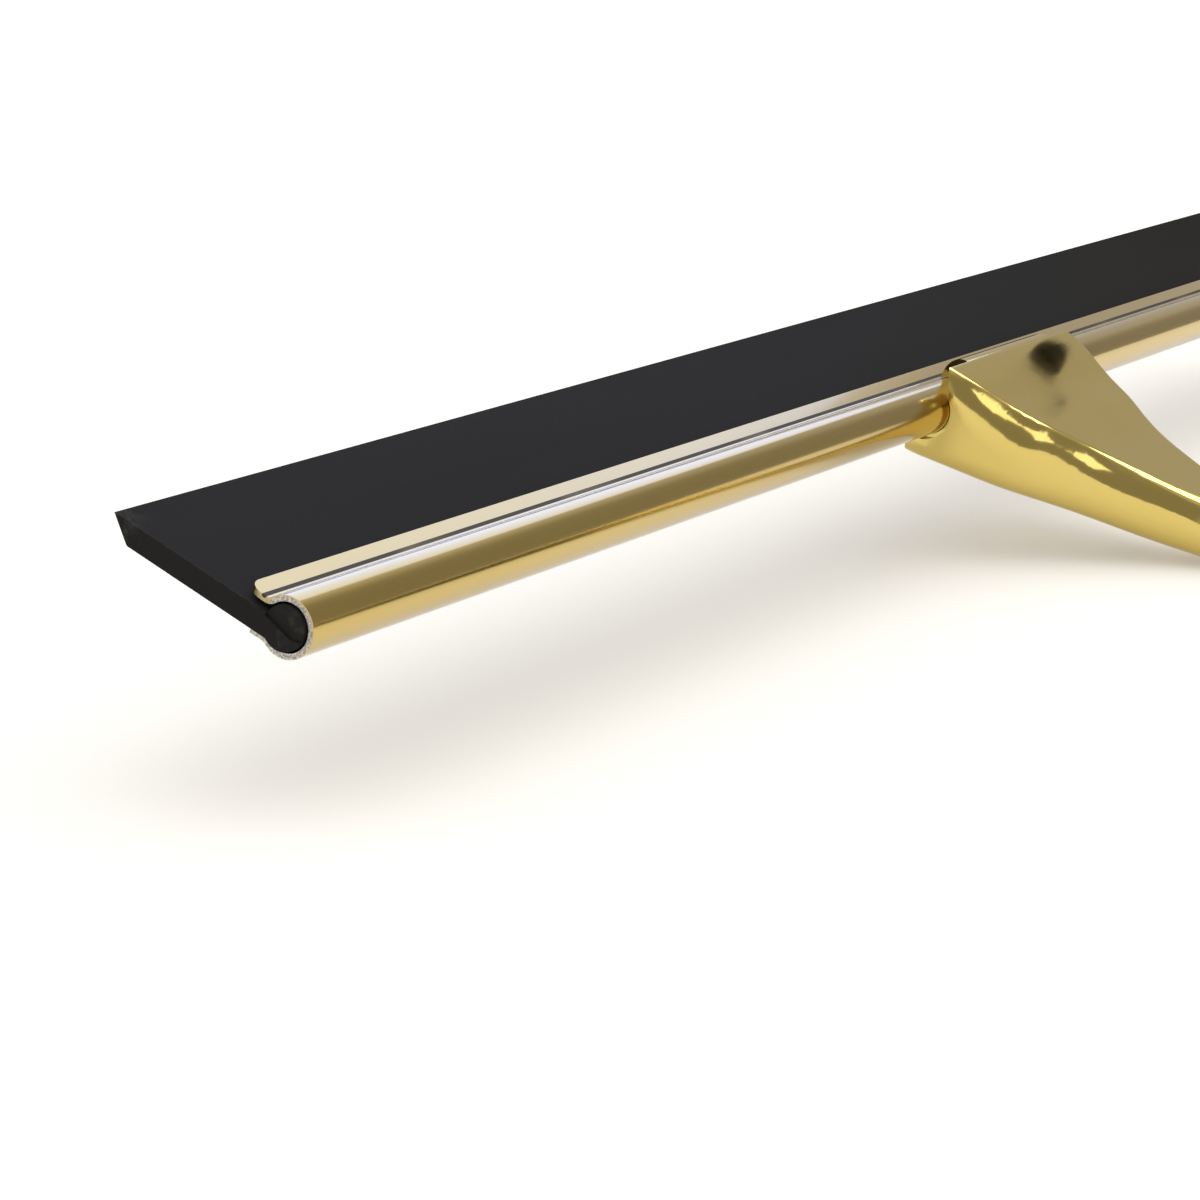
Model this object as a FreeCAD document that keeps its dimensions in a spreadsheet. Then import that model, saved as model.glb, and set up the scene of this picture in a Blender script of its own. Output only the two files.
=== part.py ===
"""Window cleaning squeegee with a rolled metal channel, a rubber blade and a cast quick-release handle.

Row frame: +X along the channel, +Y towards the blade's tip, +Z up, millimetres.  The squeegee lies on
its back on the plane z = 0 and the origin is the bottom centre of its box.  The channel, the blade and
the head are drawn in the channel frame (tube axis at the origin, blade plane level) and placed with
one tilt; the grip lies level.
"""
import FreeCAD, Part
import math
import os

from FreeCAD import Placement, Rotation, Vector

DIMENSIONS = {
    # rolled channel
    "channel_length": 450.0,
    "tube_radius": 4.5,
    "sheet_thickness": 0.9,
    "upper_bend_angle": 38.0,
    "upper_bend_radius": 1.2,
    "upper_lip_reach": 7.9,
    "upper_lip_rise": 0.1,
    "lip_corner_radius": 2.6,
    "lower_bend_angle": 60.0,
    "lower_bend_radius": 1.2,
    "lower_lip_reach": 5.0,
    # rubber blade
    "blade_overhang": 1.0,
    "blade_thickness": 3.35,
    "blade_top": 0.72,
    "blade_reach": 30.6,
    "blade_bevel": 3.6,
    "blade_heel_radius": 0.6,
    "bead_radius": 3.25,
    "bead_recess": 0.5,
    # how the squeegee lies
    "blade_tilt": 24.0,
    "tube_height": 28.0,
    "grip_height": 12.0,
    "handle_reach": 204.0,
    # head
    "head_half_width": 27.3,
    "head_top": 9.05,
    "head_bottom": 8.8,
    "head_ridge_radius": 0.9,
    "head_side_radius": 5.0,
    "head_side_slope": 38.0,
    "head_lower_radius": 3.0,
    "nose_reach": 3.2,
    "nose_radius": 4.4,
    "nose_underside": 3.3,
    "nose_half_width": 17.0,
    "nose_shoulder_radius": 9.0,
    "cheek_set_back": 0.8,
    "cheek_lean": 30.0,
    "lower_jaw_reach": 0.8,
    "bore_clearance": 0.1,
    "mouth_radius": 5.3,
    "mouth_depth": 1.4,
    # release lever and its pin
    "lever_width": 21.0,
    "lever_slot_gap": 0.5,
    "pivot_back": 13.0,
    "pivot_drop": 4.6,
    "pin_radius": 1.5,
    "pin_length": 34.0,
    "pin_running_gap": 0.05,
    "hub_radius": 3.1,
    "lug_inner": 11.2,
    "lug_outer": 14.4,
    "lug_radius": 3.2,
    "clip_radius": 2.7,
    "clip_thickness": 0.7,
    "clip_play": 0.15,
    "groove_depth": 0.4,
    "jaw_pad_thickness": 1.0,
    "jaw_pad_gap": 0.15,
    "jaw_pad_width": 19.0,
    "spring_window": 9.0,
    "spring_radius": 2.4,
    "spring_wire": 0.7,
    "spring_turns": 4.0,
    "spring_turn_gap": 0.15,
    "tail_leg_slope": 14.0,
    "tail_leg_length": 9.5,
    "roof_leg_slope": 35.0,
    "roof_leg_length": 9.5,
    # grip
    "casting_end": 88.0,
    "spigot_length": 24.0,
    "tube_outer_radius": 10.5,
    "tube_inner_radius": 8.75,
    "tube_end": 200.0,
    "ferrule_radius": 11.6,
    "ferrule_length": 6.0,
    "sleeve_radius": 12.0,
    "sleeve_end": 196.0,
    "rib_first": 9.0,
    "rib_pitch": 5.0,
    "rib_width": 1.4,
    "rib_depth": 0.5,
    "rib_count": 18,
    "socket_radius": 7.5,
    "socket_length": 48.0,
    "cross_pin_back": 102.0,
}

doc = FreeCAD.newDocument("squeegee")
sheet = doc.addObject("Spreadsheet::Sheet", "Dimensions")
for row, (alias, value) in enumerate(DIMENSIONS.items(), start=1):
    sheet.set("A%d" % row, alias)
    sheet.set("B%d" % row, "%g" % value)
    sheet.setAlias("B%d" % row, alias)
doc.recompute()


def size(alias):
    """A driving dimension, read back from the sheet."""
    return float(getattr(sheet, alias))


def bind(item, **sizes):
    """Bind properties of a document object to expressions of the sheet's cells."""
    for name, expression in sizes.items():
        item.setExpression(name, expression)


def cell(alias):
    """The expression that names a cell."""
    return "Dimensions." + alias


TILT = math.radians(size("blade_tilt"))
TIP_REACH = size("blade_reach") * math.cos(TILT) - size("blade_top") * math.sin(TILT)
TUBE_Y = (size("handle_reach") - TIP_REACH) / 2
HEAD_TURN = Rotation(Vector(1, 0, 0), size("blade_tilt"))
HEAD_PLACE = Placement(Vector(0, TUBE_Y, size("tube_height")), HEAD_TURN)
GRIP_PLACE = Placement(Vector(0, TUBE_Y, size("grip_height")), Rotation())

parts = []


def keep(item, label, place):
    """Register a finished sub-part under its own label and placement."""
    item.Label = label
    item.Placement = place
    parts.append(item)


def make_body(name):
    body = doc.addObject("PartDesign::Body", name)
    doc.recompute()
    return body


def origin_plane(body, role):
    return next(plane for plane in body.Origin.OriginFeatures if plane.Role == role)


def sketch_on(body, role, name, edges):
    """A sketch on one of the body's origin planes, holding a closed outline."""
    sketch = body.newObject("Sketcher::SketchObject", name)
    sketch.AttachmentSupport = [(origin_plane(body, role), "")]
    sketch.MapMode = "FlatFace"
    sketch.addGeometry(edges, False)
    return sketch


def pad(body, sketch, length):
    """A pad of the given length expression, half to each side of the sketch's plane."""
    feature = body.newObject("PartDesign::Pad", sketch.Name + "Pad")
    feature.Profile = sketch
    feature.Midplane = True
    bind(feature, Length=length)
    body.Tip = feature
    doc.recompute()
    return feature


def polar(radius, degrees, centre=(0.0, 0.0)):
    angle = math.radians(degrees)
    return Vector(centre[0] + radius * math.cos(angle), centre[1] + radius * math.sin(angle), 0)


def arc(radius, start, end, centre=(0.0, 0.0)):
    """A flat arc through its start, middle and end angles, in degrees."""
    middle = (start + end) / 2
    return Part.Arc(polar(radius, start, centre), polar(radius, middle, centre), polar(radius, end, centre))


def line(start, end):
    return Part.LineSegment(Vector(start[0], start[1], 0), Vector(end[0], end[1], 0))


def polygon(corners):
    """Straight edges through the corners and back to the first."""
    return [line(start, end) for start, end in zip(corners, corners[1:] + corners[:1])]


def cylinder(name, radius, height, centre, axis):
    """A Part cylinder whose axis runs through the centre of its height; sizes are expressions."""
    item = doc.addObject("Part::Cylinder", name)
    bind(item, Radius=radius, Height=height)
    doc.recompute()
    turn = Rotation(Vector(0, 0, 1), axis)
    item.Placement = Placement(centre - axis * (item.Height.Value / 2), turn)
    return item


def box(name, low, high):
    item = doc.addObject("Part::Box", name)
    item.Length = high[0] - low[0]
    item.Width = high[1] - low[1]
    item.Height = high[2] - low[2]
    item.Placement = Placement(Vector(*low), Rotation())
    return item


def cut(name, base, tool):
    item = doc.addObject("Part::Cut", name)
    item.Base = base
    item.Tool = tool
    return item


def fuse(name, shapes):
    item = doc.addObject("Part::MultiFuse", name)
    item.Shapes = shapes
    return item


def common(name, shapes):
    item = doc.addObject("Part::MultiCommon", name)
    item.Shapes = shapes
    return item


def prism_across(name, edges, width):
    """A side outline in the (y, z) plane, extruded across X about the centre plane."""
    body = make_body(name)
    pad(body, sketch_on(body, "YZ_Plane", name + "Outline", edges), width)
    return body


# ---------------------------------------------------------------- channel and rubber blade

def channel_outline():
    """The rolled sheet's section: a tube that opens forwards between a folded upper and lower lip."""
    outer = size("tube_radius")
    wall = size("sheet_thickness")
    inner = outer - wall
    upper = size("upper_bend_angle")
    bend = size("upper_bend_radius")
    upper_centre = polar(outer + bend, upper)
    valley = (upper_centre.x, upper_centre.y - bend)
    lip_top = (size("upper_lip_reach"), valley[1] + size("upper_lip_rise"))
    lower = -size("lower_bend_angle")
    fold = size("lower_bend_radius")
    lower_centre = polar(outer + fold, lower)
    shelf = (lower_centre.x, lower_centre.y + fold)
    edge = size("lower_lip_reach")
    return [
        line(lip_top, valley),
        arc(bend, 270, 180 + upper, (upper_centre.x, upper_centre.y)),
        arc(outer, upper, 360 + lower),
        arc(fold, 180 + lower, 90, (lower_centre.x, lower_centre.y)),
        line(shelf, (edge, shelf[1])),
        line((edge, shelf[1]), (edge, shelf[1] + wall)),
        line((edge, shelf[1] + wall), (shelf[0], shelf[1] + wall)),
        arc(fold + wall, 90, 180 + lower, (lower_centre.x, lower_centre.y)),
        arc(inner, 360 + lower, upper),
        arc(bend + wall, 180 + upper, 270, (upper_centre.x, upper_centre.y)),
        line((valley[0], valley[1] - wall), (lip_top[0], lip_top[1] - wall)),
        line((lip_top[0], lip_top[1] - wall), lip_top),
    ]


def lip_corner_edges(shape):
    """The short upright edges at the two front corners of the upper lip."""
    reach = size("upper_lip_reach")
    wall = size("sheet_thickness")
    names = []
    for index, edge in enumerate(shape.Edges, start=1):
        at_tip = all(abs(vertex.Point.y - reach) < 0.01 for vertex in edge.Vertexes)
        if at_tip and abs(edge.Length - wall) < 0.05:
            names.append("Edge%d" % index)
    return names


def make_channel():
    body = make_body("Channel")
    section = sketch_on(body, "YZ_Plane", "ChannelSection", channel_outline())
    base = pad(body, section, cell("channel_length"))
    rounding = body.newObject("PartDesign::Fillet", "LipCorners")
    rounding.Base = (base, lip_corner_edges(base.Shape))
    bind(rounding, Radius=cell("lip_corner_radius"))
    body.Tip = rounding
    keep(body, "channel", HEAD_PLACE)


def blade_outline():
    """The rubber's section: a round bead in the tube and a flat strip with an undercut tip."""
    bead = size("bead_radius")
    top = size("blade_top")
    bottom = top - size("blade_thickness")
    reach = size("blade_reach")
    heel = reach - size("blade_bevel")
    neck_top = math.degrees(math.asin(top / bead))
    neck_bottom = math.degrees(math.asin(bottom / bead))
    start = polar(bead, neck_top)
    end = polar(bead, neck_bottom)
    return [
        line((reach, top), (start.x, start.y)),
        arc(bead, neck_top, 360 + neck_bottom),
        line((end.x, end.y), (heel, bottom)),
        line((heel, bottom), (reach, top)),
    ]


def make_blade():
    body = make_body("RubberBlade")
    length = "%s + 2 * %s" % (cell("channel_length"), cell("blade_overhang"))
    section = sketch_on(body, "YZ_Plane", "BladeSection", blade_outline())
    base = pad(body, section, length)
    heel_y = size("blade_reach") - size("blade_bevel")
    heel_z = size("blade_top") - size("blade_thickness")
    names = []
    for index, edge in enumerate(base.Shape.Edges, start=1):
        if all(math.hypot(v.Point.y - heel_y, v.Point.z - heel_z) < 0.01 for v in edge.Vertexes):
            names.append("Edge%d" % index)
    rounding = body.newObject("PartDesign::Fillet", "HeelRounding")
    rounding.Base = (base, names)
    bind(rounding, Radius=cell("blade_heel_radius"))
    body.Tip = rounding
    upper_bead = polygon([(3.2, 0.25), (-1.9, -0.85), (-3.4, -0.3), (-3.4, 4.0), (3.2, 4.0)])
    whole = prism_across("BeadUpperHalf", upper_bead, length + " + 4")
    middle = prism_across("BeadMiddle", upper_bead, "%s - 2 * %s" % (length, cell("bead_recess")))
    keep(cut("BladeWithCutEnds", body, cut("BeadEndRecess", whole, middle)), "rubber_blade", HEAD_PLACE)


# ---------------------------------------------------------------- handle casting

# Sections of the head behind its straight front part: distance behind the tube's axis, half width,
# height of the top and of the bottom, ridge radius, side radius, slope in degrees where the ridge
# meets the side, and lower corner radius.
HEAD_SECTIONS = [
    (8.0, 26.6, 8.15, -8.3, 1.0, 10.0, 39.0, 3.6),
    (15.0, 24.2, 6.85, -8.2, 1.1, 11.5, 41.0, 4.2),
    (22.0, 21.2, 6.05, -7.75, 1.3, 12.0, 42.0, 4.4),
    (30.0, 16.4, 5.15, -7.55, 1.6, 10.5, 43.0, 4.6),
    (38.0, 13.0, 4.85, -7.2, 2.2, 9.0, 40.0, 4.8),
    (45.0, 10.5, 4.8, -6.7, 2.6, 8.0, 36.0, 5.0),
]

# Sections of the neck where it turns level and swells to the grip: distance behind the tube's axis and
# height above the ground of the middle, its slope in degrees, half width, half height, then the same
# ridge radius, side radius, ridge slope and lower corner radius.
NECK_SECTIONS = [
    (56.0, 6.3, -9.0, 8.7, 6.2, 4.0, 6.4, 36.0, 5.2),
    (67.0, 7.6, 6.0, 8.9, 7.2, 5.6, 7.0, 38.0, 6.2),
    (78.0, 10.2, 10.0, 9.8, 8.9, 7.6, 8.6, 38.0, 8.0),
    (88.0, 12.0, 0.0, 10.9, 10.9, 9.8, 10.2, 38.0, 10.0),
]


def section_outline(half_width, top, bottom, ridge, side, slope, lower):
    """A closed outline of lines and tangent arcs, as flat edges (x, height).

    From the ridge down, each side is a crown of the side radius that ends upright, then a straight
    stretch and the lower corner.
    """
    rise = top - ridge - (side - ridge) * math.sin(math.radians(slope))
    crown = (half_width - side, rise)
    edge = polar(side - ridge, slope, crown)
    foot = (half_width - lower, bottom + lower)
    return [
        line((half_width, foot[1]), (half_width, rise)),
        arc(side, 0, slope, crown),
        arc(ridge, slope, 90, (edge.x, edge.y)),
        line((edge.x, top), (-edge.x, top)),
        arc(ridge, 90, 180 - slope, (-edge.x, edge.y)),
        arc(side, 180 - slope, 180, (-crown[0], rise)),
        line((-half_width, rise), (-half_width, foot[1])),
        arc(lower, 180, 270, (-foot[0], foot[1])),
        line((-foot[0], bottom), (foot[0], bottom)),
        arc(lower, 270, 360, foot),
    ]


def to_head_frame(behind, height):
    """A point of the centre plane, given behind the tube's axis and above the ground."""
    point = Vector(0, TUBE_Y - behind, height)
    return HEAD_PLACE.inverse().multVec(point)


def section_wire(name, edges, centre, slope):
    """The outline placed in a plane square to the neck's centre line, which slopes by some degrees."""
    item = doc.addObject("Part::Feature", name)
    item.Shape = Part.Wire([edge.toShape() for edge in edges])
    item.Placement = Placement(centre, Rotation(Vector(1, 0, 0), 90 + slope))
    return item


def casting_body():
    """The outer form of head and neck, lofted through its sections."""
    wires = []
    front = (size("head_half_width"), size("head_top"), -size("head_bottom"),
             size("head_ridge_radius"), size("head_side_radius"), size("head_side_slope"),
             size("head_lower_radius"))
    sections = [(-4.0,) + front, (2.0,) + front] + HEAD_SECTIONS
    for number, (behind, half, top, bottom, ridge, side, slope, lower) in enumerate(sections):
        edges = section_outline(half, top, bottom, ridge, side, slope, lower)
        wires.append(section_wire("HeadSection%d" % number, edges, Vector(0, -behind, 0), 0))
    for number, (behind, height, pitch, half, rise, ridge, side, slope, lower) in enumerate(NECK_SECTIONS):
        edges = section_outline(half, rise, -rise, ridge, side, slope, lower)
        centre = to_head_frame(behind, height)
        turn = -size("blade_tilt") - pitch
        wires.append(section_wire("NeckSection%d" % number, edges, centre, turn))
    loft = doc.addObject("Part::Loft", "CastingLoft")
    loft.Sections = wires
    loft.Solid = True
    loft.Ruled = False
    return loft


def nose_outline():
    """Side outline that leaves the head with a rounded nose over the tube."""
    reach = size("nose_reach")
    top = size("head_top")
    radius = size("nose_radius")
    centre = (reach - radius, top + 0.02 - radius)
    jaw = size("lower_jaw_reach")
    low = -size("head_bottom") - 3
    underside = size("nose_underside")
    far = -120.0
    high = 60.0
    return [
        line((far, high), (far, low)),
        line((far, low), (jaw, low)),
        line((jaw, low), (jaw, underside)),
        line((jaw, underside), (reach, underside)),
        line((reach, underside), (reach, centre[1])),
        arc(radius, 0, 90, centre),
        line((centre[0], centre[1] + radius), (centre[0] - 4, top + 1)),
        line((centre[0] - 4, top + 1), (far, high)),
    ]


def plan_prism():
    """Plan outline that squares off the head's two ends."""
    half = size("head_half_width")
    body = make_body("HeadPlan")
    edges = polygon([(-half, -120.0), (half, -120.0), (half, 8.0), (-half, 8.0)])
    pad(body, sketch_on(body, "XY_Plane", "HeadPlanOutline", edges), "200")
    return body


def cheek_tools():
    """What is cut away in front of the two cheeks, beside the nose, so that the tube shows there."""
    low, high = 3.5, 14.0
    lean = math.tan(math.radians(size("cheek_lean")))
    foot = -size("cheek_set_back") - (size("head_top") - low) * lean
    head = -size("cheek_set_back") + (high - size("head_top")) * lean
    front = 20.0
    side = prism_across("CheekFace", polygon([(foot, low), (head, high), (front, high), (front, low)]), "100")
    radius = size("nose_shoulder_radius")
    back = -12.0
    shoulder = size("nose_half_width")
    reach = size("nose_reach") + 1.0
    outer = 60.0
    tools = []
    for sign, name in ((-1, "Left"), (1, "Right")):
        centre = ((shoulder + radius) * sign, reach)
        near, far = (180, 270) if sign > 0 else (0, -90)
        edges = [
            line((shoulder * sign, front), (shoulder * sign, reach)),
            arc(radius, near, far, centre),
            line((centre[0], reach - radius), (centre[0], back)),
            line((centre[0], back), (outer * sign, back)),
            line((outer * sign, back), (outer * sign, front)),
            line((outer * sign, front), (shoulder * sign, front)),
        ]
        body = make_body("CheekPlan" + name)
        pad(body, sketch_on(body, "XY_Plane", "CheekPlanOutline" + name, edges), "60")
        tools.append(body)
    return common("CheekTools", [side, fuse("CheekPlans", tools)])


def bore_tools():
    """The long bore for the tube and its wider mouths at the head's two ends."""
    across = Vector(1, 0, 0)
    radius = "%s + %s" % (cell("tube_radius"), cell("bore_clearance"))
    tools = [cylinder("TubeBore", radius, "2 * %s + 20" % cell("head_half_width"), Vector(0, 0, 0), across)]
    for side in (-1, 1):
        centre = Vector(side * size("head_half_width"), 0, 0)
        mouth = cylinder("BoreMouth", cell("mouth_radius"), "2 * " + cell("mouth_depth"), centre, across)
        tools.append(mouth)
    return tools


def cavity_tool():
    """The hollow under the head that the release lever swings in."""
    front, back = -8.6, -38.0
    roof_front, roof_back = 4.6, 1.6
    below = -20.0
    side = polygon([(front, below), (front, roof_front), (back, roof_back), (back, below)])
    depth = prism_across("CavityDepth", side, "60")
    plan = make_body("CavityPlan")
    right = [(20.0, -8.0), (15.0, -20.0), (9.0, -30.0), (5.6, -39.0)]
    left = [(-x, y) for x, y in reversed(right)]
    edges = polygon(right + left)
    pad(plan, sketch_on(plan, "XY_Plane", "CavityPlanOutline", edges), "60")
    return common("Cavity", [depth, plan])


def lever_slot():
    """The gap in the lower jaw that the lever's own jaw comes up through."""
    half = size("lever_width") / 2 + size("lever_slot_gap")
    return box("LeverSlot", (-half, -9.5, -20.0), (half, 12.0, -3.6))


def pivot_lugs():
    """Two lugs under the head's roof, which carry the lever's pin."""
    back = size("pivot_back")
    drop = size("pivot_drop")
    inner = size("lug_inner")
    outer = size("lug_outer")
    radius = size("lug_radius")
    lugs = []
    for side in (-1, 1):
        low_x, high_x = sorted((side * inner, side * outer))
        block = box("LugBlock", (low_x, -back - radius, -drop), (high_x, -back + radius, 6.0))
        middle = Vector((inner + outer) / 2 * side, -back, -drop)
        thickness = "%s - %s" % (cell("lug_outer"), cell("lug_inner"))
        end = cylinder("LugEnd", cell("lug_radius"), thickness, middle, Vector(1, 0, 0))
        lugs += [block, end]
    return lugs


def spigot():
    """The round spigot that the grip tube is pushed over."""
    item = doc.addObject("Part::Cylinder", "Spigot")
    bind(item, Radius=cell("tube_inner_radius"), Height=cell("spigot_length") + " + 6")
    start = to_head_frame(size("casting_end") - 6, size("grip_height"))
    axis = Rotation(Vector(1, 0, 0), -size("blade_tilt")).multVec(Vector(0, -1, 0))
    item.Placement = Placement(start, Rotation(Vector(0, 0, 1), axis))
    return item


def make_casting():
    profile = prism_across("NoseProfile", nose_outline(), "120")
    trimmed = common("CastingTrimmed", [casting_body(), profile, plan_prism()])
    hollowed = cut("CastingHollowed", trimmed, cavity_tool())
    with_lugs = fuse("CastingWithLugs", [hollowed, spigot()] + pivot_lugs())
    pivot = Vector(0, -size("pivot_back"), -size("pivot_drop"))
    pin_hole = cylinder("PinHole", cell("pin_radius"), cell("pin_length") + " + 1", pivot, Vector(1, 0, 0))
    cross = to_head_frame(size("cross_pin_back"), size("grip_height"))
    cross_hole = cylinder("CrossPinHole", cell("pin_radius"), "40", cross, Vector(1, 0, 0))
    tools = fuse("CastingTools", bore_tools() + [cheek_tools(), lever_slot(), pin_hole, cross_hole])
    keep(cut("HandleCasting", with_lugs, tools), "handle_casting", HEAD_PLACE)


# ---------------------------------------------------------------- release lever group

def lever_outline():
    """Side outline of the lever: a jaw under the tube, a hub at the pin and a thumb tail."""
    pivot = (-size("pivot_back"), -size("pivot_drop"))
    hub = size("hub_radius")
    seat = size("tube_radius") + size("jaw_pad_gap") + size("jaw_pad_thickness")
    front = polar(seat, -75)
    rear = polar(seat, -135)
    hub_front = polar(hub, 60, pivot)
    hub_back = polar(hub, 120, pivot)
    return [
        arc(seat, -75, -135),
        line((rear.x, rear.y), (-6.6, -5.2)),
        line((-6.6, -5.2), (hub_front.x, hub_front.y)),
        arc(hub, 60, 120, pivot),
        line((hub_back.x, hub_back.y), (-20.0, -5.6)),
        line((-20.0, -5.6), (-36.0, -6.4)),
        line((-36.0, -6.4), (-36.6, -8.2)),
        line((-36.6, -8.2), (-34.0, -9.2)),
        line((-34.0, -9.2), (-20.0, -8.2)),
        line((-20.0, -8.2), (-12.0, -8.9)),
        line((-12.0, -8.9), (front.x - 0.8, -8.9)),
        line((front.x - 0.8, -8.9), (front.x, -8.1)),
        line((front.x, -8.1), (front.x, front.y)),
    ]


def tail_plan():
    """Plan outline of the lever: full width at the jaw and a narrow rounded tail."""
    half = size("lever_width") / 2
    edges = [
        line((-half, 6.0), (-half, -18.0)),
        line((-half, -18.0), (-5.4, -31.0)),
        Part.Arc(Vector(-5.4, -31.0, 0), Vector(0, -36.4, 0), Vector(5.4, -31.0, 0)),
        line((5.4, -31.0), (half, -18.0)),
        line((half, -18.0), (half, 6.0)),
        line((half, 6.0), (-half, 6.0)),
    ]
    body = make_body("LeverPlan")
    pad(body, sketch_on(body, "XY_Plane", "LeverPlanOutline", edges), "60")
    return body


def thumb_grooves():
    """Shallow grooves across the underside of the tail."""
    grooves = []
    for number in range(5):
        back = 23.0 + 2.4 * number
        centre = Vector(0, -back, -8.35 - 0.0714 * (back - 20.0) - 0.45)
        grooves.append(cylinder("ThumbGroove%d" % number, "0.8", "30", centre, Vector(1, 0, 0)))
    return grooves


def make_lever():
    profile = prism_across("LeverProfile", lever_outline(), cell("lever_width"))
    blank = common("LeverBlank", [profile, tail_plan()])
    pivot = Vector(0, -size("pivot_back"), -size("pivot_drop"))
    radius = "%s + %s" % (cell("pin_radius"), cell("pin_running_gap"))
    hole = cylinder("LeverPinHole", radius, "60", pivot, Vector(1, 0, 0))
    half = size("spring_window") / 2
    window = box("SpringWindow", (-half, -20.5, -8.0), (half, -8.6, 2.0))
    tools = fuse("LeverTools", [hole, window] + thumb_grooves())
    keep(cut("ReleaseLever", blank, tools), "release_lever", HEAD_PLACE)


def make_jaw_pad():
    inner = size("tube_radius") + size("jaw_pad_gap")
    outer = inner + size("jaw_pad_thickness")
    start, end = -128.0, -80.0
    edges = [
        arc(outer, start, end),
        line(polar(outer, end), polar(inner, end)),
        arc(inner, end, start),
        line(polar(inner, start), polar(outer, start)),
    ]
    keep(prism_across("JawPad", edges, cell("jaw_pad_width")), "jaw_pad", HEAD_PLACE)


def make_pin():
    pivot = Vector(0, -size("pivot_back"), -size("pivot_drop"))
    pin = cylinder("LeverPinBlank", cell("pin_radius"), cell("pin_length"), pivot, Vector(1, 0, 0))
    grooves = []
    for side in (-1, 1):
        seat = pivot + Vector(side * clip_station(), 0, 0)
        outer = cylinder("ClipGrooveOuter", "3", cell("clip_thickness"), seat, Vector(1, 0, 0))
        inner = cylinder("ClipGrooveInner", groove_radius(), "2", seat, Vector(1, 0, 0))
        grooves.append(cut("ClipGroove", outer, inner))
    keep(cut("LeverPin", pin, fuse("ClipGrooves", grooves)), "lever_pin", HEAD_PLACE)


def clip_station():
    """How far from the centre plane each retaining clip sits."""
    return size("lug_outer") + size("clip_play") + size("clip_thickness") / 2


def groove_radius():
    """The expression for the pin's radius at the bottom of a clip's groove."""
    return "%s - %s" % (cell("pin_radius"), cell("groove_depth"))


def make_pin_clips():
    """Two open retaining clips in the grooves near the pin's ends."""
    pivot = Vector(0, -size("pivot_back"), -size("pivot_drop"))
    clips = []
    for side in (-1, 1):
        seat = pivot + Vector(side * clip_station(), 0, 0)
        disc = cylinder("ClipDisc", cell("clip_radius"), cell("clip_thickness"), seat, Vector(1, 0, 0))
        eye = cylinder("ClipEye", groove_radius(), "3", seat, Vector(1, 0, 0))
        low = seat - Vector(2, 0.8, 6)
        high = seat + Vector(2, 0.8, 0)
        mouth = box("ClipMouth", tuple(low), tuple(high))
        clips.append(cut("Clip", disc, fuse("ClipOpening", [eye, mouth])))
    group = doc.addObject("Part::Compound", "PinClips")
    group.Links = clips
    keep(group, "pin_clips", HEAD_PLACE)


def make_spring():
    """Torsion spring around the pin: one leg lies on the lever's tail, the other under the roof."""
    radius = size("spring_radius")
    rise = size("tail_leg_slope")
    sweep = 180 - size("roof_leg_slope") + rise + 360 * size("spring_turns")
    pitch = size("spring_wire") + size("spring_turn_gap")
    length = pitch * sweep / 360
    helix = Part.makeHelix(pitch, length, radius)
    first, last = (vertex.Point for vertex in helix.Vertexes)
    finish = math.radians(sweep)
    climb = pitch / (2 * math.pi)
    first_way = Vector(0, radius, climb).normalize()
    last_way = Vector(-radius * math.sin(finish), radius * math.cos(finish), climb).normalize()
    tail_end = first - first_way * size("tail_leg_length")
    roof_end = last + last_way * size("roof_leg_length")
    tail_leg = Part.LineSegment(tail_end, first).toShape()
    roof_leg = Part.LineSegment(last, roof_end).toShape()
    path = Part.Wire([tail_leg] + helix.Edges + [roof_leg])
    profile = Part.Wire([Part.Circle(tail_end, first_way, size("spring_wire") / 2).toShape()])
    spring = doc.addObject("Part::Feature", "LeverSpring")
    spring.Shape = path.makePipeShell([profile], True, False)
    first_end = Vector(-length / 2, -size("pivot_back"), -size("pivot_drop"))
    turn = Rotation(Vector(0, 1, 0), 90).multiply(Rotation(Vector(0, 0, 1), -rise))
    keep(spring, "lever_spring", HEAD_PLACE.multiply(Placement(first_end, turn)))


# ---------------------------------------------------------------- grip group

def ring(name, outer, inner, front, back):
    """A tube along the grip's axis between two distances behind the channel's tube."""
    middle = Vector(0, -(front + back) / 2, 0)
    along = Vector(0, 1, 0)
    shell = cylinder(name + "Outer", outer, "%g" % (back - front), middle, along)
    hollow = cylinder(name + "Inner", inner, "%g" % (back - front + 2), middle, along)
    return cut(name, shell, hollow)


def make_grip_tube():
    tube = ring("GripTubeBlank", cell("tube_outer_radius"), cell("tube_inner_radius"),
                size("casting_end"), size("tube_end"))
    centre = Vector(0, -size("cross_pin_back"), 0)
    hole = cylinder("GripTubeHole", cell("pin_radius"), "40", centre, Vector(1, 0, 0))
    keep(cut("GripTube", tube, hole), "grip_tube", GRIP_PLACE)


def make_cross_pin():
    centre = Vector(-size("cross_pin_back"), 0, 0)
    outline = [Part.Circle(centre, Vector(0, 0, 1), size("pin_radius"))]
    length = "2 * %s - 0.4" % cell("tube_outer_radius")
    keep(prism_across("CrossPin", outline, length), "cross_pin", GRIP_PLACE)


def rounded_bar(radius, front, back, bead):
    """A closed outline (y, radius) between two distances back, with both outer corners rounded."""
    return [
        line((-front, 0), (-front, radius - bead)),
        arc(bead, 0, 90, (-front - bead, radius - bead)),
        line((-front - bead, radius), (-back + bead, radius)),
        arc(bead, 90, 180, (-back + bead, radius - bead)),
        line((-back, radius - bead), (-back, 0)),
        line((-back, 0), (-front, 0)),
    ]


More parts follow.
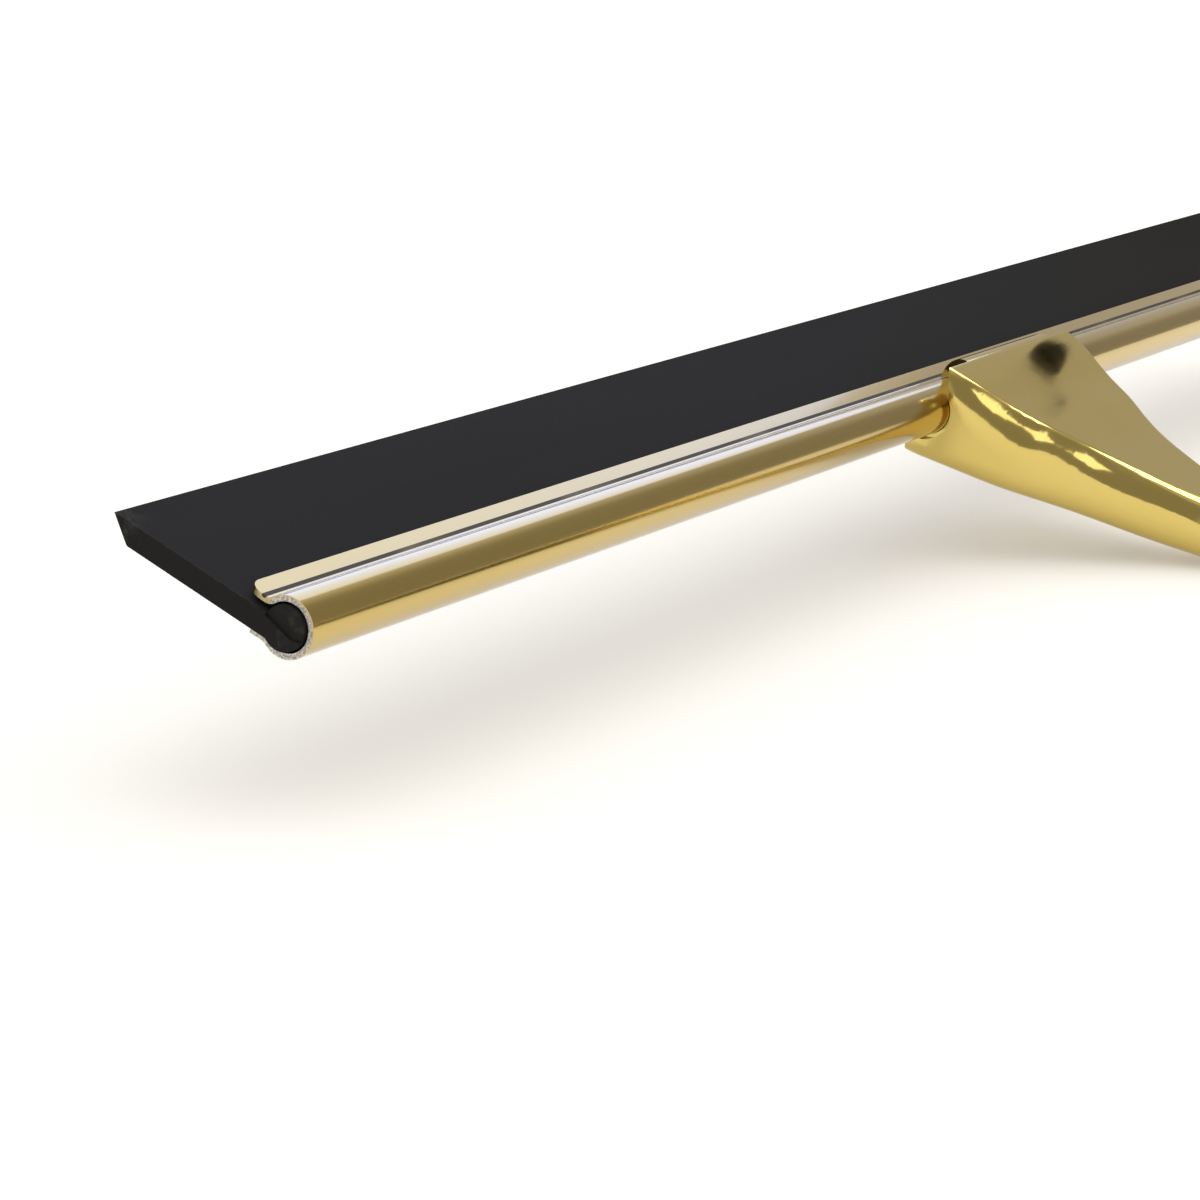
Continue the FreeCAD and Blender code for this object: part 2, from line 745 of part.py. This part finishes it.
def turned(name, edges):
    """A solid of revolution about the grip's axis, from an outline given as (y, radius)."""
    body = make_body(name)
    sketch = sketch_on(body, "YZ_Plane", name + "Outline", edges)
    feature = body.newObject("PartDesign::Revolution", name + "Turned")
    feature.Profile = sketch
    feature.ReferenceAxis = (sketch, ["H_Axis"])
    feature.Angle = 360
    body.Tip = feature
    return body


def make_ferrule():
    front = size("casting_end")
    back = front + size("ferrule_length")
    solid = turned("FerruleSolid", rounded_bar(size("ferrule_radius"), front, back, 1.6))
    middle = Vector(0, -(front + back) / 2, 0)
    hole = cylinder("FerruleHole", cell("tube_outer_radius"), "20", middle, Vector(0, 1, 0))
    keep(cut("FrontFerrule", solid, hole), "front_ferrule", GRIP_PLACE)


def make_sleeve():
    """The ribbed rubber sleeve over the grip tube."""
    along = Vector(0, 1, 0)
    front = size("casting_end") + size("ferrule_length")
    back = size("sleeve_end")
    solid = turned("SleeveSolid", rounded_bar(size("sleeve_radius"), front, back, 0.6))
    middle = Vector(0, -(front + back) / 2, 0)
    tools = [cylinder("SleeveHole", cell("tube_outer_radius"), "130", middle, along)]
    floor = "%s - %s" % (cell("sleeve_radius"), cell("rib_depth"))
    for number in range(int(size("rib_count"))):
        centre = Vector(0, -front - size("rib_first") - size("rib_pitch") * number, 0)
        outer = cylinder("RibOuter%d" % number, "14", cell("rib_width"), centre, along)
        inner = cylinder("RibInner%d" % number, floor, "4", centre, along)
        tools.append(cut("RibGroove%d" % number, outer, inner))
    keep(cut("GripSleeve", solid, fuse("SleeveTools", tools)), "grip_sleeve", GRIP_PLACE)


def make_rear_collar():
    """The end collar: a deep seat for the grip tube and a mouth in line with the pole socket."""
    along = Vector(0, 1, 0)
    front = size("sleeve_end")
    back = size("handle_reach")
    solid = turned("CollarSolid", rounded_bar(size("sleeve_radius"), front, back, 1.8))
    seat_depth = size("tube_end") - front
    seat_middle = Vector(0, -front - seat_depth / 2 + 1, 0)
    seat = cylinder("CollarSeat", cell("tube_outer_radius"), "%g" % (seat_depth + 2), seat_middle, along)
    mouth = cylinder("CollarMouth", cell("socket_radius"), "60", Vector(0, -back, 0), along)
    keep(cut("RearCollar", solid, fuse("CollarTools", [seat, mouth])), "rear_collar", GRIP_PLACE)


def make_pole_socket():
    back = size("tube_end")
    front = back - size("socket_length")
    insert = ring("PoleSocket", cell("tube_inner_radius"), cell("socket_radius"), front, back)
    keep(insert, "pole_socket", GRIP_PLACE)


# ---------------------------------------------------------------- build, check, write

make_channel()
make_blade()
make_casting()
make_lever()
make_jaw_pad()
make_pin()
make_pin_clips()
make_spring()
make_grip_tube()
make_cross_pin()
make_ferrule()
make_sleeve()
make_rear_collar()
make_pole_socket()
doc.recompute()

for item in doc.Objects:
    if "Invalid" in item.State or "Error" in item.State:
        raise RuntimeError("%s failed: %s" % (item.Name, item.State))

for item in parts:
    if item.Shape.isNull() or not item.Shape.isValid():
        raise RuntimeError("%s has no valid shape" % item.Label)

os.makedirs("parts", exist_ok=True)
for item in parts:
    item.Shape.exportStep("parts/%s.step" % item.Label)
    bounds = item.Shape.BoundBox
    print("%-16s solids %d volume %.1f  y %.2f..%.2f z %.2f..%.2f" % (
        item.Label, len(item.Shape.Solids), item.Shape.Volume,
        bounds.YMin, bounds.YMax, bounds.ZMin, bounds.ZMax))
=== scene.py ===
"""Looks for the window cleaning squeegee: finishes, a spring split at its joint, and the studio.

Row frame in metres: +X along the channel, +Y towards the blade's tip, +Z up from the floor.
"""
import math

import bmesh
import bpy
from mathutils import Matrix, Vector


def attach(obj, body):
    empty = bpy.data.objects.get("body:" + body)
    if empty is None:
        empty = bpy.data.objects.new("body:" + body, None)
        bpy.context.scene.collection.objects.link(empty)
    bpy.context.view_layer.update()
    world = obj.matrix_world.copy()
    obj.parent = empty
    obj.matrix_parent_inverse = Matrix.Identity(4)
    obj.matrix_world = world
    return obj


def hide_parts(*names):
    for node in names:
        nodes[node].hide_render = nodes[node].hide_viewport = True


MM = 0.001

# The channel, the blade and the head lean back by this angle about the channel's tube, whose axis
# runs through this (Y, Z).
LEAN = math.radians(24.0)
TUBE = (88.169 * MM, 28.0 * MM)

# The axis of the release lever's pin, as (Y, Z).
PIVOT = (78.164 * MM, 18.510 * MM)

# The spring's coil lies wholly within this distance of the pin's axis.
COIL_REACH = 2.85 * MM

# The channel's tube from its axis to its outer skin, and the middle of the thin dark line painted
# just ahead of the lip's crease, as the (reach, height) of channel_frame().
TUBE_RADIUS = 4.5 * MM
DARK_LINE_MIDDLE = (4.85 * MM, 2.31 * MM)

BLADE_HALF_LENGTH = 226.0 * MM

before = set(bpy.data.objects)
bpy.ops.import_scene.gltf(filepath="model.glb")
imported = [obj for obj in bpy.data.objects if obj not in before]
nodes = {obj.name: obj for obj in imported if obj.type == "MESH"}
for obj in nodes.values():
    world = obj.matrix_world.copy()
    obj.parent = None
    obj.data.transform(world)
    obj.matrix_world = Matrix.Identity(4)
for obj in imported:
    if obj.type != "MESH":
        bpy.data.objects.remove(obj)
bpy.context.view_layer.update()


# ---------------------------------------------------------------- small helpers

class Nodes:
    """A short way to write node trees: each call adds a node and links its inputs."""

    def __init__(self, tree):
        self.tree = tree
        self.tree.nodes.clear()

    def add(self, kind, settings=None, **inputs):
        node = self.tree.nodes.new(kind)
        for name, value in (settings or {}).items():
            setattr(node, name, value)
        for name, value in inputs.items():
            self.set(node, name.replace("_", " "), value)
        return node

    def set(self, node, name, value):
        socket = node.inputs[int(name)] if name.isdigit() else node.inputs[name]
        if isinstance(value, bpy.types.NodeSocket):
            self.tree.links.new(value, socket)
        else:
            socket.default_value = value

    def math(self, operation, first, second=0.0, clamp=False):
        node = self.tree.nodes.new("ShaderNodeMath")
        node.operation = operation
        node.use_clamp = clamp
        self.set(node, "0", first)
        self.set(node, "1", second)
        return node.outputs[0]

    def ramp(self, value, low, high, out_low=0.0, out_high=1.0):
        """A smooth step from out_low to out_high as the value goes from low to high."""
        node = self.tree.nodes.new("ShaderNodeMapRange")
        node.interpolation_type = "SMOOTHSTEP"
        self.set(node, "0", value)
        for index, number in enumerate((low, high, out_low, out_high), start=1):
            self.set(node, str(index), number)
        return node.outputs[0]

    def mix(self, factor, first, second):
        node = self.tree.nodes.new("ShaderNodeMix")
        node.data_type = "RGBA"
        self.set(node, "0", factor)
        self.set(node, "6", first)
        self.set(node, "7", second)
        return node.outputs[2]

    def position(self, scale=(1, 1, 1)):
        """Object coordinates, scaled; metres when the scale is 1."""
        place = self.add("ShaderNodeTexCoord").outputs["Object"]
        mapping = self.add("ShaderNodeMapping", Vector=place)
        mapping.inputs["Scale"].default_value = scale
        return mapping.outputs[0]

    def axes(self):
        place = self.add("ShaderNodeTexCoord").outputs["Object"]
        return self.add("ShaderNodeSeparateXYZ", Vector=place).outputs

    def normal_axes(self):
        facing = self.add("ShaderNodeTexCoord").outputs["Normal"]
        return self.add("ShaderNodeSeparateXYZ", Vector=facing).outputs

    def noise(self, vector, scale, detail=3.0, roughness=0.55, seed=0.0):
        node = self.add("ShaderNodeTexNoise", {"noise_dimensions": "4D"}, Vector=vector, W=seed,
                        Scale=scale, Detail=detail, Roughness=roughness)
        return node.outputs[0]

    def bump(self, height, distance, strength=1.0, normal=None):
        node = self.add("ShaderNodeBump", Height=height, Distance=distance, Strength=strength)
        if normal is not None:
            self.set(node, "Normal", normal)
        return node.outputs[0]

    def finish(self, shader):
        output = self.add("ShaderNodeOutputMaterial")
        self.tree.links.new(shader, output.inputs[0])


def material(name):
    """A new material, and the Nodes helper on its empty tree."""
    made = bpy.data.materials.new(name)
    made.use_nodes = True
    return made, Nodes(made.node_tree)


def rgb(red, green, blue):
    return (red, green, blue, 1.0)


def put(name, data):
    """A new object in the scene that holds this data."""
    item = bpy.data.objects.new(name, data)
    bpy.context.scene.collection.objects.link(item)
    return item


# ---------------------------------------------------------------- materials

def channel_frame(n):
    """Distance ahead of the tube's axis and height above it, both along the leaning blade."""
    place = n.axes()
    ahead = n.math("SUBTRACT", place["Y"], TUBE[0])
    above = n.math("SUBTRACT", place["Z"], TUBE[1])
    reach = n.math("ADD", n.math("MULTIPLY", ahead, math.cos(LEAN)),
                   n.math("MULTIPLY", above, math.sin(LEAN)))
    height = n.math("SUBTRACT", n.math("MULTIPLY", above, math.cos(LEAN)),
                    n.math("MULTIPLY", ahead, math.sin(LEAN)))
    return reach, height


def distance(n, reach, height, centre):
    """Distance from a line along the channel, given as its (reach, height)."""
    across = n.math("SUBTRACT", reach, centre[0])
    above = n.math("SUBTRACT", height, centre[1])
    squares = n.math("ADD", n.math("MULTIPLY", across, across), n.math("MULTIPLY", above, above))
    return n.math("SQRT", squares)


def sheared_metal(n, reach, height, grain):
    """A cut end's colour: grained bare metal, tinted gold round the tube's upper rim and on the lip."""
    bare = n.mix(n.ramp(grain, 0.35, 0.65), rgb(0.26, 0.24, 0.21), rgb(0.72, 0.70, 0.66))
    out = distance(n, reach, height, (0.0, 0.0))
    ring = n.math("MULTIPLY", n.ramp(out, 4.24 * MM, 4.34 * MM),
                  n.ramp(out, TUBE_RADIUS, 4.6 * MM, 1.0, 0.0))
    rim = n.math("MULTIPLY", ring, n.ramp(height, -3.4 * MM, -1.6 * MM, 0.0, 0.9))
    lip_end = n.math("MULTIPLY", n.ramp(reach, 3.4 * MM, 4.4 * MM),
                     n.ramp(height, 0.8 * MM, 1.6 * MM, 0.0, 0.7))
    return n.mix(n.math("MAXIMUM", rim, lip_end), bare, rgb(0.66, 0.50, 0.20))


def grime_line(n, reach, height):
    """How dark the channel is painted: a thin dark line by the lip's crease, a little uneven along its
    length.
    """
    along = n.noise(n.position((40, 0, 0)), 1.0, 2.0, seed=8.0)
    line = n.ramp(distance(n, reach, height, DARK_LINE_MIDDLE), 0.34 * MM, 0.46 * MM, 1.0, 0.0)
    return n.math("MULTIPLY", line, n.ramp(along, 0.2, 0.5, 0.75, 1.0))


def channel_gold():
    """Gold anodised sheet: fine rolling lines, a painted dark line by the lip's crease, bare metal on
    the cut ends.
    """
    made, n = material("channel_gold")
    rolled = n.noise(n.position((4, 900, 900)), 4.0, 4.0)
    cloud = n.noise(n.position(), 60.0, 3.0, seed=2.0)
    tone = n.math("ADD", n.math("MULTIPLY", rolled, 0.5), n.math("MULTIPLY", cloud, 0.5))
    gold = n.mix(tone, rgb(0.51, 0.36, 0.07), rgb(0.58, 0.41, 0.09))
    grain = n.noise(n.position(), 2600.0, 3.0, 0.7, seed=5.0)
    reach, height = channel_frame(n)
    metal = sheared_metal(n, reach, height, grain)
    # A thin dark line is painted just ahead of the lip's crease: darker, rougher and not metallic there.
    dark_line = grime_line(n, reach, height)
    off_dark_line = n.math("SUBTRACT", 1.0, dark_line)
    cut = n.ramp(n.math("ABSOLUTE", n.normal_axes()["X"]), 0.75, 0.92)
    plated = n.math("MULTIPLY", n.math("SUBTRACT", 1.0, cut), off_dark_line)
    colour = n.mix(dark_line, n.mix(cut, gold, metal), rgb(0.030, 0.026, 0.022))
    rough = n.math("ADD", n.ramp(cut, 0, 1, 0.17, 0.45), n.math("MULTIPLY", rolled, 0.08))
    rough = n.math("ADD", rough, n.math("MULTIPLY", dark_line, 0.55))
    lines = n.bump(rolled, 0.004 * MM, 0.35)
    torn = n.bump(n.math("MULTIPLY", grain, cut), 0.05 * MM, 0.8, lines)
    shader = n.add("ShaderNodeBsdfPrincipled", Base_Color=colour, Metallic=off_dark_line, Roughness=rough,
                   Normal=torn, Coat_Weight=plated)
    shader.inputs["Coat Roughness"].default_value = 0.07
    n.finish(shader.outputs[0])
    return made


def polished_brass(name, rough=0.07, seed=0.0):
    """Cast brass, polished: slight waviness, faint haze and fine random scratches."""
    made, n = material(name)
    cloud = n.noise(n.position(), 45.0, 4.0, seed=seed)
    gold = n.mix(cloud, rgb(0.64, 0.49, 0.14), rgb(0.70, 0.55, 0.18))
    scratch = n.noise(n.position((1500, 200, 1500)), 1.0, 2.0, seed=seed + 3)
    haze = n.noise(n.position(), 300.0, 3.0, seed=seed + 1)
    shine = n.math("ADD", rough, n.math("MULTIPLY", haze, 0.05))
    wave = n.bump(n.noise(n.position(), 90.0, 2.0, seed=seed + 4), 0.05 * MM, 0.25)
    fine = n.bump(scratch, 0.002 * MM, 0.3, wave)
    shader = n.add("ShaderNodeBsdfPrincipled", Base_Color=gold, Metallic=1.0, Roughness=shine,
                   Normal=fine)
    n.finish(shader.outputs[0])
    return made


def end_dust(n):
    """Patchy chalk on the blade's cut ends: along their top edge, at the tip corner and on the bead."""
    place = n.axes()
    from_end = n.math("SUBTRACT", BLADE_HALF_LENGTH, n.math("ABSOLUTE", place["X"]))
    reach, height = channel_frame(n)
    patches = n.noise(n.position(), 700.0, 4.0, 0.7, seed=21.0)
    near = n.ramp(from_end, 0.2 * MM, 3.0 * MM, 1.0, 0.0)
    tip = n.math("MULTIPLY", n.ramp(reach, 24.5 * MM, 28.5 * MM),
                 n.ramp(from_end, 0.5 * MM, 6.0 * MM, 1.0, 0.0))
    rim = n.math("MULTIPLY", n.ramp(height, 0.2 * MM, 1.1 * MM),
                 n.ramp(from_end, 0.05 * MM, 0.5 * MM, 1.0, 0.0))
    bead = n.math("MULTIPLY", n.ramp(reach, -1.0 * MM, 3.0 * MM, 0.35, 0.0), near)
    edges = n.math("ADD", n.math("MULTIPLY", rim, 0.35), bead)
    worn = n.math("ADD", n.math("MULTIPLY", tip, 0.55), edges, clamp=True)
    return n.math("MULTIPLY", worn, n.ramp(patches, 0.42, 0.72))


def black_rubber(name, dusty_ends=False, seed=0.0):
    """Moulded black rubber: a fine matte skin with faint dust, and chalky cut ends on the blade."""
    made, n = material(name)
    skin = n.noise(n.position(), 2600.0, 3.0, seed=seed)
    cloud = n.noise(n.position((8, 60, 60)), 1.0, 4.0, seed=seed + 1)
    base = n.mix(cloud, rgb(0.011, 0.0108, 0.0105), rgb(0.017, 0.0166, 0.016))
    if dusty_ends:
        base = n.mix(end_dust(n), base, rgb(0.060, 0.058, 0.052))
    rough = n.math("ADD", 0.62, n.math("MULTIPLY", skin, 0.16))
    relief = n.bump(skin, 0.02 * MM, 0.5)
    shader = n.add("ShaderNodeBsdfPrincipled", Base_Color=base, Roughness=rough, Normal=relief)
    shader.inputs["Specular IOR Level"].default_value = 0.05
    n.finish(shader.outputs[0])
    return made


def bare_steel(name, tone=0.6, rough=0.28, seed=0.0):
    """Ground or drawn steel with fine lines and a little tarnish."""
    made, n = material(name)
    lines = n.noise(n.position((300, 4000, 4000)), 1.0, 3.0, seed=seed)
    cloud = n.noise(n.position(), 500.0, 3.0, seed=seed + 1)
    base = n.mix(cloud, rgb(tone * 0.85, tone * 0.84, tone * 0.82), rgb(tone, tone, tone))
    shine = n.math("ADD", rough, n.math("MULTIPLY", lines, 0.12))
    shader = n.add("ShaderNodeBsdfPrincipled", Base_Color=base, Metallic=1.0, Roughness=shine,
                   Normal=n.bump(lines, 0.004 * MM, 0.4))
    n.finish(shader.outputs[0])
    return made


def dark_nylon():
    """Moulded nylon: charcoal, faintly mottled, satin."""
    made, n = material("dark_nylon")
    cloud = n.noise(n.position(), 220.0, 4.0)
    base = n.mix(cloud, rgb(0.030, 0.031, 0.033), rgb(0.046, 0.047, 0.050))
    rough = n.math("ADD", 0.38, n.math("MULTIPLY", cloud, 0.15))
    fine = n.bump(n.noise(n.position(), 3000.0, 2.0, seed=1.0), 0.01 * MM, 0.4)
    shader = n.add("ShaderNodeBsdfPrincipled", Base_Color=base, Roughness=rough, Normal=fine)
    n.finish(shader.outputs[0])
    return made


def pale_floor():
    """A pale grey floor that glows faintly, so that its shadows stay light."""
    made, n = material("pale_floor")
    cloud = n.noise(n.position(), 3.0, 3.0)
    base = n.mix(cloud, rgb(0.71, 0.71, 0.71), rgb(0.73, 0.73, 0.73))
    shader = n.add("ShaderNodeBsdfPrincipled", Base_Color=base, Roughness=0.9)
    shader.inputs["Specular IOR Level"].default_value = 0.1
    shader.inputs["Emission Color"].default_value = rgb(1.0, 0.99, 0.98)
    shader.inputs["Emission Strength"].default_value = 0.24
    n.finish(shader.outputs[0])
    return made


def dress(name, made):
    """Gives a CAD node one finish in all its slots."""
    target = nodes[name]
    if not target.data.materials:
        target.data.materials.append(made)
    for index in range(len(target.data.materials)):
        target.data.materials[index] = made
    target.active_material_index = 0


def spring_part(name, keeps, made):
    """A closed copy of the spring with only the faces that keeps(centre) accepts."""
    source = nodes["lever_spring"]
    mesh = bpy.data.meshes.new(name)
    work = bmesh.new()
    work.from_mesh(source.data)
    work.transform(source.matrix_world)
    spare = [face for face in work.faces if not keeps(face.calc_center_median())]
    bmesh.ops.delete(work, geom=spare, context="FACES")
    open_edges = [edge for edge in work.edges if edge.is_boundary]
    bmesh.ops.holes_fill(work, edges=open_edges, sides=0)
    bmesh.ops.recalc_face_normals(work, faces=work.faces)
    for face in work.faces:
        face.smooth = True
    work.to_mesh(mesh)
    work.free()
    item = put(name, mesh)
    mesh.materials.append(made)
    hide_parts("lever_spring")
    return item


def split_spring(made):
    """The coil and its leg under the roof stay with the head; the leg on the tail moves with the
    lever. The cut is where the leg leaves the coil.
    """
    def on_tail(centre):
        out = math.hypot(centre.y - PIVOT[0], centre.z - PIVOT[1])
        return centre.x < 0.0 and out > COIL_REACH

    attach(spring_part("spring_coil", lambda centre: not on_tail(centre), made), "handle")
    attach(spring_part("spring_tail_leg", on_tail, made), "lever")


dress("channel", channel_gold())
dress("rubber_blade", black_rubber("blade_rubber", True))
dress("handle_casting", polished_brass("cast_brass"))
dress("release_lever", polished_brass("lever_brass", 0.16, 7.0))
dress("jaw_pad", black_rubber("pad_rubber", seed=3.0))
dress("lever_pin", bare_steel("pin_steel"))
dress("pin_clips", bare_steel("clip_steel", 0.35, 0.35, 2.0))
split_spring(bare_steel("spring_steel", 0.55, 0.25, 4.0))
dress("grip_tube", polished_brass("tube_brass", 0.14, 11.0))
dress("cross_pin", bare_steel("cross_pin_steel", 0.6, 0.25, 6.0))
dress("front_ferrule", polished_brass("ferrule_brass", 0.10, 13.0))
dress("grip_sleeve", black_rubber("sleeve_rubber", seed=9.0))
dress("rear_collar", polished_brass("collar_brass", 0.10, 17.0))
dress("pole_socket", dark_nylon())


# ---------------------------------------------------------------- studio

def make_floor():
    half = 6.0
    mesh = bpy.data.meshes.new("studio_floor")
    corners = [(-half, -half, 0), (half, -half, 0), (half, half, 0), (-half, half, 0)]
    mesh.from_pydata(corners, [], [(0, 1, 2, 3)])
    floor = put("studio_floor", mesh)
    mesh.materials.append(pale_floor())


def make_world():
    """A pale room: even for matt surfaces, graded by height and side for polished ones, and plain
    white for the camera.
    """
    world = bpy.data.worlds.new("studio")
    world.use_nodes = True
    bpy.context.scene.world = world
    n = Nodes(world.node_tree)
    outward = n.add("ShaderNodeTexCoord").outputs["Generated"]
    way = n.add("ShaderNodeSeparateXYZ", Vector=outward).outputs
    side = n.ramp(way["Y"], -0.22, 0.02, 0.72, 1.12)
    level = n.math("MULTIPLY", n.ramp(way["Z"], 0.50, 0.95, 0.45, 1.0), side)
    room = n.add("ShaderNodeBackground", Color=rgb(1.0, 0.95, 0.88), Strength=level)
    fill = n.add("ShaderNodeBackground", Color=rgb(1.0, 0.95, 0.87), Strength=1.0)
    plain = n.add("ShaderNodeBackground", Color=rgb(1.0, 1.0, 1.0), Strength=1.0)
    ray = n.add("ShaderNodeLightPath").outputs
    mirrored = n.add("ShaderNodeMixShader", {}, **{"0": ray["Is Glossy Ray"], "1": fill.outputs[0],
                                                   "2": room.outputs[0]})
    mixed = n.add("ShaderNodeMixShader", {}, **{"0": ray["Is Camera Ray"], "1": mirrored.outputs[0],
                                                "2": plain.outputs[0]})
    output = n.add("ShaderNodeOutputWorld")
    n.tree.links.new(mixed.outputs[0], output.inputs[0])


def aim(item, place, target):
    """Puts an object at a place, with its own -Z axis towards the target."""
    item.location = place
    item.rotation_euler = (Vector(target) - Vector(place)).to_track_quat("-Z", "Y").to_euler()


def sun(name, direction, strength, spread, colour, mirrored):
    """A round light far away, for polished surfaces only or for matt ones only."""
    lamp = bpy.data.lights.new(name, "SUN")
    lamp.energy = strength
    lamp.angle = math.radians(spread)
    lamp.color = colour
    item = put(name, lamp)
    item.visible_diffuse = not mirrored
    item.visible_glossy = mirrored
    aim(item, direction, (0, 0, 0))


def softbox(name, place, target, width, height, strength, colour):
    """A flat rectangular light that shows in reflections but doesn't light matt surfaces."""
    lamp = bpy.data.lights.new(name, "AREA")
    lamp.shape = "RECTANGLE"
    lamp.size = width
    lamp.size_y = height
    lamp.energy = strength
    lamp.color = colour
    item = put(name, lamp)
    item.visible_diffuse = False
    aim(item, place, target)


def make_flag():
    """A small black oval over the head, hidden from the camera: the polished head top reflects it as
    a dark spot.
    """
    corners, half_width, half_height = 48, 7.0 * MM, 4.0 * MM
    mesh = bpy.data.meshes.new("studio_flag")
    around = [2 * math.pi * step / corners for step in range(corners)]
    rim = [(half_width * math.cos(angle), half_height * math.sin(angle), 0.0) for angle in around]
    mesh.from_pydata(rim, [], [tuple(range(corners))])
    flag = put("studio_flag", mesh)
    made, n = material("flag_cloth")
    weave = n.noise(n.position(), 900.0, 2.0)
    shader = n.add("ShaderNodeBsdfPrincipled", Roughness=0.9,
                   Base_Color=n.mix(weave, rgb(0.008, 0.008, 0.008), rgb(0.014, 0.014, 0.014)))
    shader.inputs["Specular IOR Level"].default_value = 0.0
    n.finish(shader.outputs[0])
    mesh.materials.append(made)
    flag.visible_camera = False
    flag.visible_shadow = False
    flag.visible_diffuse = False
    aim(flag, (0.070, 0.081, 0.062), (0.008, 0.080, 0.034))


def make_camera():
    """A long lens beyond the channel's near end, low and on the grip's side."""
    data = bpy.data.cameras.new("camera")
    data.lens = 108.0
    data.sensor_width = 36.0
    data.clip_start = 0.02
    item = put("camera", data)
    place = Vector((-0.6079, -0.1857, 0.1386))
    look = Vector((0.84047, 0.49424, -0.22212))
    aim(item, place, place + look)
    bpy.context.scene.camera = item


make_floor()
make_flag()
make_world()
sun("ceiling", (0.15, 0.10, 1.0), 0.9, 110.0, (1.0, 0.99, 0.97), False)
sun("overhead", (0.13, -0.27, 0.92), 1.7, 42.0, (1.0, 0.99, 0.97), True)
softbox("cool_card", (0.20, 0.52, 0.41), (-0.8, 0.52, 0.41), 0.77, 0.58, 2.25, (0.44, 0.56, 1.0))
softbox("low_strip", (-0.90, -1.13, 0.56), (-0.02, 0.08, 0.03), 0.42, 0.36, 0.72, (1.0, 0.98, 0.95))
make_camera()
bpy.context.scene.view_settings.view_transform = "Standard"
